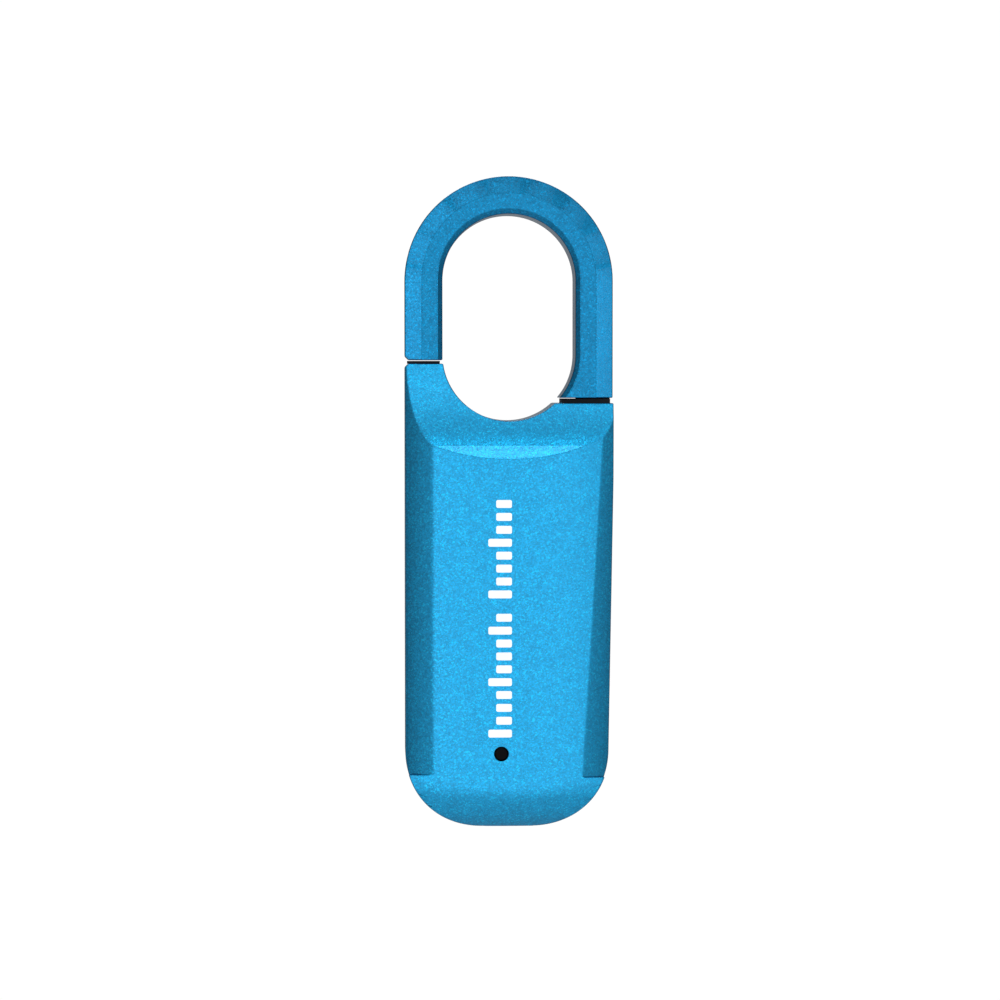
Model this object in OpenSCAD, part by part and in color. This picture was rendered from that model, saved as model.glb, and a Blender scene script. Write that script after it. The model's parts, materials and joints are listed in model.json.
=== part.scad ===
// Slim keyless padlock: cast body, swinging flat bow, motor-driven dead bolt.
// Front is -Y, up is +Z, and the origin is under the middle of the base.
// Rest position: bow closed over the shoulders, bolt and plunger drawn back.

/* [Overall] */
// Width across the body and the bow
body_w = 24; // [24:0.1:24.4]
// Height from the base to the crown of the bow
total_h = 75; // [74:0.5:80]
// Depth of the body at the middle of the front and rear faces
body_d = 12; // [12:0.1:12.4]

/* [Body shape] */
// Radius of the gently crowned front and rear faces
panel_r = 55; // [52:1:60]
// Radius of the two bottom corners
corner_r = 8.7; // [8:0.1:9]
// How far the right side leans in towards the base
side_lean = 0.5; // [0:0.1:0.6]
// Height where the chin starts to curve back to the base
chin_z = 5.5; // [5.2:0.1:5.8]
// Radius of the chin
chin_r = 7; // [6.8:0.1:7.4]
// Distance from the middle to the left edge of the front panel
panel_edge = 8.8; // [8.6:0.1:9.2]
// Lean of the right panel edge, in degrees
bevel_lean = 2; // [0:0.1:2.2]
// Radius of the side bevels
bevel_r = 8; // [7.8:0.1:8.4]
// Radius of the scooped neck
neck_r = 26; // [26:0.5:28]
// Height where the scoop runs out into the neck
neck_z = 54; // [53.8:0.1:54.2]

/* [Bow] */
// Depth of the bow and of the neck
bow_d = 6.6; // [6.6:0.1:6.8]
// Half width of the slot inside the bow
slot_r = 7.66; // [7.5:0.02:7.7]
// Height of the centre of the slot's lower arc
slot_low_z = 54.5; // [54.4:0.1:54.6]
// Height of the left shoulder, under the toe of the bow
toe_shoulder_z = 53.45; // [53.4:0.01:53.5]
// Height of the right shoulder, under the heel of the bow
heel_shoulder_z = 48.9; // [48.8:0.01:49]
// Gap under the toe
toe_gap = 0.41; // [0.3:0.01:0.5]
// Gap under the heel
heel_gap = 0.6; // [0.55:0.01:0.65]

/* [Mechanism] */
// Travel of the dead bolt
bolt_travel = 4; // [3.8:0.1:4]
// Travel of the heel plunger
plunger_travel = 0.6; // [0.5:0.05:0.6]
// How far the bow lifts
bow_lift = 4; // [3.8:0.1:4]
// Radius of the dead bolt
bolt_r = 1.1; // [1.05:0.01:1.1]
// Radius of the heel spindle
spindle_r = 1.2; // [1.15:0.01:1.2]
// Radius of the spindle's groove and neck
groove_r = 0.6; // [0.55:0.01:0.6]
// Radial clearance of the running fits
running = 0.05; // [0.04:0.01:0.06]

/* [Hidden] */
$fn = 96;
half_w = body_w / 2;
half_d = body_d / 2;
bow_half_d = bow_d / 2;
leg_x = (half_w + slot_r) / 2;
crown_z = total_h - half_w;
toe_z = toe_shoulder_z + toe_gap;
heel_z = heel_shoulder_z + heel_gap;
far = 40;

// Seals on the shoulders: half depth, margin at the ends and gap under the bow
seal_half_d = 2.5;
seal_margin = 0.3;
seal_gap = 0.1;

// Side bevels of the body: lower end, where their arc starts, and how the right one stands
bevel_low_z = 6.2;
bevel_start = 20;
bevel_shift = 0.35;
bevel_pivot_z = 23;
shoulder_chamfer = 0.4;

// Bevels on the bow: outer and inner width, and how deep they cut
bow_outer_bevel = 2;
bow_outer_drop = 0.95;
bow_inner_bevel = 0.6;
bow_inner_drop = 0.5;

// Cavity inside the body
cavity_half_w = 9.4;
cavity_front_y = -4.2;
cavity_rear_y = 3.5;
cavity_low_z = 2.7;
cavity_top_z = 44.6;
cavity_corner_r = 4;

// Rear opening, its ledge and the cover
ledge_y = 4.3;
cover_y = 4.6;
cover_half_w = 8.8;
cover_low_z = 4.4;
cover_top_z = 42.6;
opening_half_w = 7.6;
opening_low_z = 5.6;
opening_top_z = 41.4;
cover_gap = 0.12;
cover_screw_x = 7.1;
cover_screw_z = [6.4, 40.6];
cover_screw_r = 0.6;
cover_head_r = 1.1;
cover_boss_y = 2.75;
cover_boss_r = 1.5;
cover_corner_r = 1.8;

// Drive train, from the motor up to the bolt
drive_x = -5.4;
drive_y = 0.5;
motor_r = 2.9;
motor_low_z = 12.9;
motor_top_z = 25;
plate_top_z = 27;
coupler_low_z = 27.3;
coupler_top_z = 31.2;
screw_r = 0.75;
screw_low_z = 28.9;
screw_top_z = 45.2;
bush_r = 1.3;
bush_low_z = 43.8;
bush_top_z = 45.4;
carrier_low_z = 33;
carrier_top_z = 37;
carrier_arm_r = 1.05;
bolt_tip_z = 53.1;
guide_x = -1.2;
guide_r = 0.7;

// Heel plunger and the ramp that pushes it
plunger_z = 39.5;
plunger_r = 0.6;
plunger_tail_x = 2.65;
plunger_tip_x = leg_x - spindle_r - 0.1;
plunger_gap = 0.15;
ramp_slope = plunger_travel / bolt_travel;
column_x = [5, 8];
column_y = [-1.6, 2.4];
chassis_screw_x = [-8.1, 1.8];
chassis_screw_z = 26;

// Heel spindle, as heights on the closed bow
spindle_top_z = 55.3;
swivel_z = 52.45;
land_low_z = 37.5;
fork_z = [36.4, 37.3];
neck_low_z = fork_z[0] - bow_lift - 0.1;
spindle_low_z = neck_low_z - 1.5;
swivel_pin_r = 0.4;

// Electronics
board_y = [-3.4, -2.6];
board_half_w = 8;
board_z = [4, 24.6];
board_screw_x = [-6.9, 6.9];
board_screw_z = 9.6;
port_y = -0.92;
port_half_w = 4.47;
port_half_d = 1.63;
port_z = [1, 8.2];
led_x = -1;
led_z = 8.7;
led_r = 0.85;
sensor_z = 21;
sensor_r = 5.5;

// Port plug
plug_y = [port_y - 1.95, port_y + 1.95];
plug_hinge_x = -5.7;
plug_hinge_z = 0.62;
plug_hinge_r = 0.45;
plug_end_x = 5.6;

// ---------- shared shapes ----------

// A box between two corners
module block(low, high) {
    translate(low) cube(high - low);
}

// A solid cylinder along Z between two heights
module post(x, y, r, low, high) {
    translate([x, y, low]) cylinder(r = r, h = high - low);
}

// A cylinder along Y between two depths
module pin_y(x, z, r, low, high) {
    translate([x, low, z]) rotate([-90, 0, 0]) cylinder(r = r, h = high - low);
}

// A cylinder along X between two places
module pin_x(y, z, r, low, high) {
    translate([low, y, z]) rotate([0, 90, 0]) cylinder(r = r, h = high - low);
}

// A 2D outline in X and Z, made solid between two depths
module plate_y(low, high) {
    translate([0, high, 0]) rotate([90, 0, 0]) linear_extrude(high - low) children();
}

// A 2D rectangle with round corners
module round_rect(low, high, r) {
    for (x = [low[0] + r, high[0] - r], z = [low[1] + r, high[1] - r])
        translate([x, z]) circle(r);
    translate([low[0] + r, low[1]]) square([high[0] - low[0] - 2 * r, high[1] - low[1]]);
    translate([low[0], low[1] + r]) square([high[0] - low[0], high[1] - low[1] - 2 * r]);
}

// A thin wire through a list of points
module wire(points, r) {
    for (i = [0:len(points) - 2]) {
        run = points[i + 1] - points[i];
        length = norm(run);
        translate(points[i])
            rotate([0, acos(run[2] / length), atan2(run[1], run[0])])
                cylinder(r = r, h = length, $fn = 24);
        translate(points[i + 1]) sphere(r * 1.08, $fn = 24);
    }
}

// ---------- body ----------

// Front outline of the body in X and Z
module body_outline() {
    right_x = half_w - side_lean;
    difference() {
        union() {
            translate([-half_w + corner_r, corner_r]) circle(corner_r);
            translate([right_x - corner_r, corner_r]) circle(corner_r);
            translate([-half_w + corner_r, 0]) square([right_x + half_w - 2 * corner_r, corner_r]);
            polygon([
                [-half_w, corner_r], [right_x, corner_r], [half_w, 40], [half_w, heel_shoulder_z],
                [0, heel_shoulder_z], [0, toe_shoulder_z], [-half_w + shoulder_chamfer, toe_shoulder_z],
                [-half_w, toe_shoulder_z - shoulder_chamfer]
            ]);
        }
        translate([0, slot_low_z]) circle(slot_r);
    }
}

// Solid behind the crowned front face and its chin, turned about a far upright axis
module crowned_face() {
    translate([0, panel_r - half_d, 0]) rotate_extrude($fn = 360) {
        translate([0, chin_z]) square([panel_r, 60 - chin_z]);
        square([panel_r - chin_r, chin_z]);
        intersection() {
            translate([panel_r - chin_r, chin_z]) circle(chin_r);
            translate([panel_r - chin_r, 0]) square([chin_r, chin_z]);
        }
    }
}

// Body with its crowned faces and chins, front and rear
module crowned_block() {
    intersection() {
        crowned_face();
        mirror([0, 1, 0]) crowned_face();
        block([-half_w - 1, -half_d, 0], [half_w + 1, half_d, 60]);
    }
}

// Scoops that thin the body down to the neck, front and rear
module neck_scoops() {
    for (side = [-1, 1])
        pin_x(side * (bow_half_d + neck_r), neck_z, neck_r, -half_w - 1, half_w + 1);
}

// What the front and rear side bevels take away on the left side
module left_bevel_cut() {
    bevel_x = panel_edge - bevel_r * sin(bevel_start);
    edge_y = half_d - panel_r + sqrt(panel_r * panel_r - panel_edge * panel_edge);
    bevel_y = edge_y - bevel_r * cos(bevel_start);
    translate([0, 0, bevel_low_z])
        linear_extrude(60)
            for (side = [-1, 1])
                scale([1, side])
                    difference() {
                        translate([-half_w - 2, bevel_y]) square([2.6 + half_w - panel_edge, 10]);
                        translate([-bevel_x, bevel_y]) circle(bevel_r);
                    }
}

// Outer body, before anything is hollowed out
module body_blank() {
    difference() {
        intersection() {
            plate_y(-half_d, half_d) body_outline();
            crowned_block();
        }
        neck_scoops();
        left_bevel_cut();
        translate([bevel_shift, 0, bevel_pivot_z])
            rotate([0, bevel_lean, 0])
                translate([0, 0, -bevel_pivot_z])
                    mirror([1, 0, 0]) left_bevel_cut();
    }
}

// Rear opening outline in X and Z
module cover_outline(gap) {
    low = [-cover_half_w + gap, cover_low_z + gap];
    high = [cover_half_w - gap, cover_top_z - gap];
    round_rect(low, high, cover_corner_r - gap);
}

// Front outline of the main cavity, with lower corners that follow the outside
module cavity_outline() {
    flat_half_w = cavity_half_w - cavity_corner_r;
    corner_z = cavity_low_z + cavity_corner_r;
    for (x = [-flat_half_w, flat_half_w]) translate([x, corner_z]) circle(cavity_corner_r);
    translate([-flat_half_w, cavity_low_z]) square([2 * flat_half_w, cavity_corner_r]);
    translate([-cavity_half_w, corner_z]) square([2 * cavity_half_w, cavity_top_z - corner_z]);
}

// Opening inside the ledge, with a boss left in each corner
module opening_outline() {
    difference() {
        translate([-opening_half_w, opening_low_z])
            square([2 * opening_half_w, opening_top_z - opening_low_z]);
        for (x = [-cover_screw_x, cover_screw_x], z = cover_screw_z)
            translate([x, z]) circle(cover_boss_r + 0.2);
    }
}

module housing() {
    color("deepskyblue") difference() {
        union() {
            difference() {
                body_blank();
                // main cavity, then the ledge and the recess for the cover
                plate_y(cavity_front_y, cavity_rear_y) cavity_outline();
                plate_y(cavity_rear_y - 0.5, half_d + 1) opening_outline();
                plate_y(ledge_y, half_d + 1) cover_outline(0);
            }
            // bosses for the cover screws, the chassis and the board
            for (x = [-cover_screw_x, cover_screw_x], z = cover_screw_z)
                pin_y(x, z, cover_boss_r, cover_boss_y, cavity_rear_y);
            for (x = chassis_screw_x) pin_y(x, chassis_screw_z, 1.25, cavity_front_y, -2.2);
            for (x = board_screw_x) pin_y(x, board_screw_z, 1.1, cavity_front_y, board_y[0]);
        }
        for (x = [-cover_screw_x, cover_screw_x], z = cover_screw_z)
            pin_y(x, z, cover_screw_r, cover_boss_y - 0.1, ledge_y + 0.1);
        for (x = chassis_screw_x) pin_y(x, chassis_screw_z, 0.5, -4.8, -2.1);
        for (x = board_screw_x) pin_y(x, board_screw_z, 0.5, -4.8, board_y[0] + 0.1);
        // dead bolt: bore, seal groove and the pocket for the carrier's arm
        post(-leg_x, 0, bolt_r + running, 40, far + 20);
        post(-leg_x, 0, bolt_r + 0.46, 51.2, 51.7);
        block([-leg_x - 1.25, -1.5, 31], [-cavity_half_w + 0.1, 1.5, 42]);
        // heel spindle: bore and the pocket that its lower end moves in
        post(leg_x, 0, spindle_r + running, 42, far + 20);
        block([cavity_half_w - 0.1, -1.5, spindle_low_z - 0.8], [leg_x + 1.4, 1.5, cavity_top_z]);
        // blind hole for the upper bush of the lead screw
        post(drive_x, drive_y, bush_r, cavity_top_z - 0.1, bush_top_z);
        // status light
        pin_y(led_x, led_z, led_r, -half_d - 1, cavity_front_y + 0.1);
        // charging port and the recess for its plug
        port_hole(0.08, -1, cavity_low_z + 0.1);
        block([plug_hinge_x - 0.75, plug_y[0] - 0.1, -1], [plug_end_x + 0.12, plug_y[1] + 0.1, 1.1]);
    }
}

// Stadium-shaped hole through the base for the charging socket
module port_hole(gap, low, high) {
    end_r = port_half_d + gap;
    for (x = [-1, 1]) post(x * (port_half_w - port_half_d), port_y, end_r, low, high);
    block([-port_half_w + port_half_d, port_y - end_r, low], [port_half_w - port_half_d, port_y + end_r, high]);
}

// ---------- rear cover and sensor ----------

module rear_cover() {
    color("deepskyblue") difference() {
        intersection() {
            plate_y(cover_y, half_d) cover_outline(cover_gap);
            crowned_block();
        }
        pin_y(0, sensor_z, sensor_r, cover_y - 1, half_d + 1);
        for (x = [-cover_screw_x, cover_screw_x], z = cover_screw_z) {
            pin_y(x, z, cover_screw_r + 0.1, cover_y - 1, half_d);
            pin_y(x, z, cover_head_r + 0.1, cover_y + 0.35, half_d);
        }
    }
}

module cover_gasket() {
    color("black") plate_y(ledge_y, cover_y)
        difference() {
            cover_outline(cover_gap);
            opening_outline();
            for (x = [-cover_screw_x, cover_screw_x], z = cover_screw_z)
                translate([x, z]) circle(cover_screw_r + 0.1);
        }
}

module cover_screws() {
    color("dimgray")
        for (x = [-cover_screw_x, cover_screw_x], z = cover_screw_z)
            difference() {
                union() {
                    pin_y(x, z, cover_screw_r, cover_boss_y + 0.1, cover_y + 0.36);
                    pin_y(x, z, cover_head_r, cover_y + 0.35, 5.3);
                }
                translate([x, 4.95, z]) rotate([-90, 0, 0]) cylinder(r = 0.5, h = 1, $fn = 6);
            }
}

module sensor_ring() {
    color("silver") difference() {
        pin_y(0, sensor_z, sensor_r - 0.03, cover_y + 0.1, half_d);
        pin_y(0, sensor_z, sensor_r - 0.8, cover_y - 1, half_d + 1);
        // coned inner edge that leads the finger to the window
        translate([0, half_d - 0.5, sensor_z]) rotate([-90, 0, 0])
            cylinder(r1 = sensor_r - 0.8, r2 = sensor_r - 0.25, h = 0.55);
    }
}

module sensor_window() {
    color("black") pin_y(0, sensor_z, sensor_r - 0.82, cover_y + 0.1, half_d - 0.45);
}

module sensor_module() {
    color("darkgreen") block([-4.4, 3.55, sensor_z - 4.4], [4.4, cover_y, sensor_z + 4.4]);
}

// Ribbon from the sensor, down behind the battery and forward to the board
module sensor_flex() {
    color("orange") {
        block([-1.6, 3.35, sensor_z - 12.3], [1.6, 3.55, sensor_z - 2]);
        block([-1.6, board_y[1], sensor_z - 12.3], [1.6, 3.35, sensor_z - 12.1]);
    }
}

// ---------- bow, toe and heel ----------

// Section of one leg: distance from the middle, and depth
module leg_section() {
    d = bow_half_d;
    polygon([
        [slot_r, -d + bow_inner_drop], [slot_r + bow_inner_bevel, -d],
        [half_w - bow_outer_bevel, -d], [half_w, -d + bow_outer_drop],
        [half_w, d - bow_outer_drop], [half_w - bow_outer_bevel, d],
        [slot_r + bow_inner_bevel, d], [slot_r, d - bow_inner_drop]
    ]);
}

// Upper half ring of the bow
module bow_arch() {
    translate([0, 0, crown_z]) intersection() {
        rotate([90, 0, 0]) rotate_extrude() leg_section();
        block([-half_w - 1, -half_d, 0], [half_w + 1, half_d, half_w + 1]);
    }
}

// Heel foot: it flares inwards along the lower arc of the slot
module heel_foot() {
    difference() {
        intersection() {
            plate_y(-bow_half_d, bow_half_d) difference() {
                translate([2, heel_z]) square([half_w - 2, slot_low_z - heel_z]);
                translate([0, slot_low_z]) circle(slot_r);
            }
            translate([0, 0, heel_z]) linear_extrude(10) union() {
                leg_section();
                square([2 * slot_r + 1.5, bow_d], center = true);
            }
        }
        for (side = [0, 1]) mirror([0, side, 0])
            translate([0, -bow_half_d - 0.001, slot_low_z]) rotate([-90, 0, 0])
                cylinder(r1 = slot_r + bow_inner_bevel, r2 = slot_r, h = bow_inner_drop);
    }
}

module shackle_bow() {
    color("dodgerblue") difference() {
        union() {
            bow_arch();
            translate([0, 0, slot_low_z]) linear_extrude(crown_z - slot_low_z) leg_section();
            translate([0, 0, toe_z]) linear_extrude(crown_z - toe_z) mirror([1, 0]) leg_section();
            heel_foot();
        }
        // toe: blind hole for the bush, and the small corner chamfer
        post(-leg_x, 0, 1.5, toe_z - 1, 58.4);
        translate([-half_w, 0, toe_z]) rotate([0, 45, 0]) cube([0.6, 20, 0.6], center = true);
        // heel: bore for the spindle and the tangent hole for its cross pin
        post(leg_x, 0, spindle_r + running, heel_z - 1, spindle_top_z + 0.15);
        pin_y(leg_x - spindle_r, swivel_z, swivel_pin_r, -1.8, bow_half_d + 1);
    }
}

module toe_bush() {
    color("silver") difference() {
        post(-leg_x, 0, 1.5, toe_z + 0.05, 58.4);
        post(-leg_x, 0, bolt_r + 0.1, toe_z - 1, 57.8);
    }
}

module spindle_cross_pin() {
    color("silver") pin_y(leg_x - spindle_r, swivel_z, swivel_pin_r, -1.8, 3.2);
}

// Spindle with a swivel groove on top, a lock groove, a land and a long neck
module heel_spindle() {
    swivel_groove_r = spindle_r - swivel_pin_r - running;
    color("silver") {
        post(leg_x, 0, spindle_r, swivel_z + 0.5, spindle_top_z);
        post(leg_x, 0, swivel_groove_r, swivel_z - 0.5, swivel_z + 0.5);
        post(leg_x, 0, spindle_r, plunger_z + 0.8, swivel_z - 0.5);
        post(leg_x, 0, groove_r, plunger_z - 0.8, plunger_z + 0.8);
        post(leg_x, 0, spindle_r, land_low_z, plunger_z - 0.8);
        post(leg_x, 0, groove_r, neck_low_z, land_low_z);
        post(leg_x, 0, spindle_r, spindle_low_z, neck_low_z);
    }
}

module heel_washer() {
    color("black") difference() {
        post(leg_x, 0, 2, heel_z - 0.4, heel_z);
        post(leg_x, 0, spindle_r + 0.01, heel_z - 1, heel_z + 1);
    }
}

// Seal on the left shoulder, with a hole for the dead bolt
module toe_seal() {
    color("black") difference() {
        block([-half_w + seal_margin, -seal_half_d, toe_shoulder_z],
              [-slot_r - seal_margin, seal_half_d, toe_z - seal_gap]);
        post(-leg_x, 0, bolt_r + 0.1, toe_shoulder_z - 1, toe_z);
    }
}

// Seal on the right shoulder, round the washer
module heel_seal() {
    color("black") difference() {
        block([6.1, -seal_half_d, heel_shoulder_z], [half_w - seal_margin, seal_half_d, heel_z - seal_gap]);
        post(leg_x, 0, 2.1, heel_shoulder_z - 1, heel_z);
    }
}

// Fork that keeps the spindle from coming out
module spindle_retainer() {
    color("silver") difference() {
        block([column_x[0] + 0.2, -1.4, fork_z[0]], [leg_x + 1.25, 1.4, fork_z[1]]);
        post(leg_x, 0, groove_r + running, fork_z[0] - 1, fork_z[1] + 1);
        block([leg_x, -groove_r - running, fork_z[0] - 1], [leg_x + 3, groove_r + running, fork_z[1] + 1]);
    }
}

// ---------- bolt and its drive ----------

module dead_bolt() {
    color("silver") {
        post(-leg_x, 0, bolt_r, carrier_top_z, bolt_tip_z - 0.4);
        translate([-leg_x, 0, bolt_tip_z - 0.4]) cylinder(r1 = bolt_r, r2 = bolt_r - 0.35, h = 0.4);
        post(-leg_x, 0, 0.6, carrier_low_z - 0.9, carrier_top_z);
    }
}

module bolt_clip() {
    color("black") difference() {
        post(-leg_x, 0, 1, carrier_low_z - 0.5, carrier_low_z);
        post(-leg_x, 0, 0.6, 0, far);
        block([-leg_x, -0.35, 0], [-leg_x + 2, 0.35, far]);
    }
}

module bolt_seal() {
    color("black") translate([-leg_x, 0, 51.45])
        rotate_extrude() translate([bolt_r + 0.24, 0]) circle(0.22, $fn = 32);
}

// Carrier: an arm under the bolt, the nut's seat, the guide hole and the ramp
module bolt_carrier() {
    low = carrier_low_z;
    top = carrier_top_z;
    ramp_x = plunger_tail_x - plunger_gap;
    ramp_top_z = plunger_z + 0.7;
    color("whitesmoke") difference() {
        union() {
            post(-leg_x, 0, carrier_arm_r, low, top);
            block([-leg_x, -carrier_arm_r, low], [drive_x, carrier_arm_r, top]);
            block([drive_x - 2.1, -1.6, low], [1.4, 2.6, top]);
            plate_y(-0.9, 0.9) polygon([
                [0.2, low], [ramp_x + ramp_slope * (plunger_z - low), low],
                [ramp_x - ramp_slope * 0.7, ramp_top_z], [0.2, ramp_top_z]
            ]);
        }
        post(-leg_x, 0, 0.6, 0, far);
        post(drive_x, drive_y, 1.5, 0, far);
        post(guide_x, drive_y, guide_r + running, 0, far);
    }
}

module drive_nut() {
    color("goldenrod") difference() {
        union() {
            post(drive_x, drive_y, 1.5, carrier_low_z, carrier_top_z);
            post(drive_x, drive_y, 2.05, carrier_low_z - 0.7, carrier_low_z);
        }
        post(drive_x, drive_y, screw_r + running, 0, far);
    }
}

module lead_screw() {
    color("silver") post(drive_x, drive_y, screw_r, screw_low_z, screw_top_z);
}

module shaft_coupler() {
    color("goldenrod") difference() {
        post(drive_x, drive_y, 1.3, coupler_low_z, coupler_top_z);
        post(drive_x, drive_y, screw_r, screw_low_z, coupler_top_z + 1);
        post(drive_x, drive_y, 0.4, coupler_low_z - 1, screw_low_z - 0.3);
    }
}

module motor_shaft() {
    color("silver") post(drive_x, drive_y, 0.4, motor_top_z - 3, screw_low_z - 0.3);
}

module motor_can() {
    color("silver") difference() {
        union() {
            post(drive_x, drive_y, motor_r, motor_low_z, motor_top_z);
            post(drive_x, drive_y, 1.2, motor_top_z, motor_top_z + 1);
        }
        post(drive_x, drive_y, 0.4 + running, motor_top_z - 3.2, motor_top_z + 2);
    }
}

module motor_end_cap() {
    color("black") union() {
        post(drive_x, drive_y, motor_r - 0.2, motor_low_z - 1, motor_low_z);
        for (side = [-1, 1])
            block([drive_x + side * 1.5 - 0.35, drive_y - 0.15, motor_low_z - 1.6],
                  [drive_x + side * 1.5 + 0.35, drive_y + 0.15, motor_low_z - 1]);
    }
}

module screw_bush() {
    color("goldenrod") difference() {
        post(drive_x, drive_y, bush_r, bush_low_z, bush_top_z);
        post(drive_x, drive_y, screw_r + running, 0, far + 20);
    }
}

// Chassis: base plate over the motor, and the column that holds the plunger
module chassis() {
    color("dimgray") difference() {
        union() {
            block([-9.2, -2.2, motor_top_z], [8, 3.2, plate_top_z]);
            block([column_x[0], column_y[0], plate_top_z], [column_x[1], column_y[1], 43.6]);
        }
        post(drive_x, drive_y, 1.25, 0, far);
        post(guide_x, drive_y, guide_r, 0, far);
        pin_x(0, plunger_z, 1.1, column_x[0] - 1, column_x[1] + 1);
        block([column_x[0] + 0.2, -1.4, fork_z[0]], [column_x[1] + 1, 1.4, fork_z[1]]);
        for (x = chassis_screw_x) {
            pin_y(x, chassis_screw_z, 0.5, -3, 4);
            pin_y(x, chassis_screw_z, 0.85, 2.6, 4);
        }
    }
}

module chassis_screws() {
    color("silver")
        for (x = chassis_screw_x) {
            pin_y(x, chassis_screw_z, 0.5, -4.6, 2.6);
            pin_y(x, chassis_screw_z, 0.85, 2.6, 3.2);
        }
}

module guide_pin() {
    color("silver") post(guide_x, drive_y, guide_r, motor_top_z + 0.4, cavity_top_z);
}

module heel_plunger() {
    color("silver") {
        pin_x(0, plunger_z, plunger_r, plunger_tail_x, plunger_tip_x - 0.2);
        translate([plunger_tip_x - 0.2, 0, plunger_z]) rotate([0, 90, 0])
            cylinder(r1 = plunger_r, r2 = plunger_r - 0.2, h = 0.2);
        pin_x(0, plunger_z, 1, 3.2, 3.6);
    }
}

module plunger_bush() {
    color("goldenrod") difference() {
        pin_x(0, plunger_z, 1.1, column_x[0], column_x[1]);
        pin_x(0, plunger_z, plunger_r + running, 0, far);
    }
}

// Return spring of the plunger, as the sleeve that its coils fill
module plunger_spring() {
    color("silver") difference() {
        pin_x(0, plunger_z, 0.95, 3.6, column_x[0]);
        pin_x(0, plunger_z, 0.7, 0, far);
    }
}

// ---------- electronics ----------

module battery_cell() {
    color("gray") plate_y(-2.35, 3.3) round_rect([-1.4, 11.4], [8.6, 24.6], 0.6);
}

module battery_pad() {
    color("black") block([-0.4, board_y[1], 12.5], [7.6, -2.35, 23.8]);
}

module circuit_board() {
    color("darkgreen") difference() {
        block([-board_half_w, board_y[0], board_z[0]], [board_half_w, board_y[1], board_z[1]]);
        for (x = board_screw_x) pin_y(x, board_screw_z, 0.55, -5, 0);
        for (x = board_screw_x) pin_y(x, board_screw_z - 3.2, 1.75, -5, 0);
    }
}

// Chips, crystal and passives on the front of the board
module board_components() {
    color("black") {
        block([-5.6, board_y[0] - 0.6, 16], [-1.2, board_y[0], 20.4]);
        block([1, board_y[0] - 0.7, 18.5], [5.8, board_y[0], 23.6]);
        block([1.4, board_y[0] - 0.5, 13.2], [4, board_y[0], 15.2]);
        for (i = [0:4]) block([-5.4 + i, board_y[0] - 0.35, 13], [-4.9 + i, board_y[0], 14]);
        for (i = [0:3]) block([5.2, board_y[0] - 0.35, 12.6 + i], [6.2, board_y[0], 13.1 + i]);
    }
}

module board_screws() {
    color("silver")
        for (x = board_screw_x) {
            pin_y(x, board_screw_z, 0.5, -4.7, board_y[1]);
            pin_y(x, board_screw_z, 0.85, board_y[1], board_y[1] + 0.5);
        }
}

module charging_socket() {
    color("silver") difference() {
        port_hole(0, port_z[0], port_z[1]);
        port_hole(-0.3, port_z[0] - 1, port_z[1] - 0.8);
    }
}

module socket_tongue() {
    color("black") block([-3.35, port_y - 0.35, 2.3], [3.35, port_y + 0.35, port_z[1] - 0.8]);
}

// Soft plug: a lid on a rolled hinge, with a boss that enters the socket
module port_plug() {
    color("black") {
        translate([plug_hinge_x, plug_y[0], plug_hinge_z]) rotate([-90, 0, 0])
            cylinder(r = plug_hinge_r, h = plug_y[1] - plug_y[0]);
        block([plug_hinge_x, plug_y[0], 0.2], [plug_end_x, plug_y[1], 0.95]);
        for (x = [-1, 1]) post(x * 2.8, port_y, 1.1, 0.95, 1.95);
        block([-2.8, port_y - 1.1, 0.95], [2.8, port_y + 1.1, 1.95]);
    }
}

module status_led() {
    low = [led_x - 0.5, board_y[0] - 0.5, led_z - 0.3];
    color("white") block(low, low + [1, 0.5, 0.6]);
}

module light_pipe() {
    color("black") pin_y(led_x, led_z, led_r, -half_d + 0.05, board_y[0] - 0.5);
}

module motor_wires() {
    color("red") for (side = [-1, 1]) {
        x = drive_x + side * 1.5;
        end_x = drive_x + 0.9 + side * 0.75;
        wire([[x, drive_y, motor_low_z - 1.9], [x, drive_y - 0.5, 10.3], [end_x, -2.2, 9.9]], 0.3);
    }
}

module battery_wires() {
    color("red") for (side = [-1, 1]) {
        x = 3.6 + side * 0.6;
        wire([[x, 0.4, 11.1], [x, -0.4, 9.8], [x, -2.25, 9.4]], 0.3);
    }
}

housing();
rear_cover();
cover_gasket();
cover_screws();
sensor_ring();
sensor_window();
sensor_module();
sensor_flex();
shackle_bow();
toe_bush();
spindle_cross_pin();
heel_spindle();
heel_washer();
toe_seal();
heel_seal();
spindle_retainer();
dead_bolt();
bolt_carrier();
bolt_clip();
bolt_seal();
drive_nut();
lead_screw();
shaft_coupler();
motor_shaft();
motor_can();
motor_end_cap();
screw_bush();
chassis();
chassis_screws();
guide_pin();
heel_plunger();
plunger_bush();
plunger_spring();
battery_cell();
battery_pad();
circuit_board();
board_components();
board_screws();
charging_socket();
socket_tongue();
port_plug();
status_led();
light_pipe();
motor_wires();
battery_wires();
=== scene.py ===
"""Slim keyless padlock: the visible pieces, finishes, light and camera around its fixed frame."""

import json
import logging
import math
from contextlib import contextmanager
from dataclasses import dataclass
from enum import Enum
from typing import Callable, Iterator, Sequence

import bmesh
import bpy
from mathutils import Matrix, Vector


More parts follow.
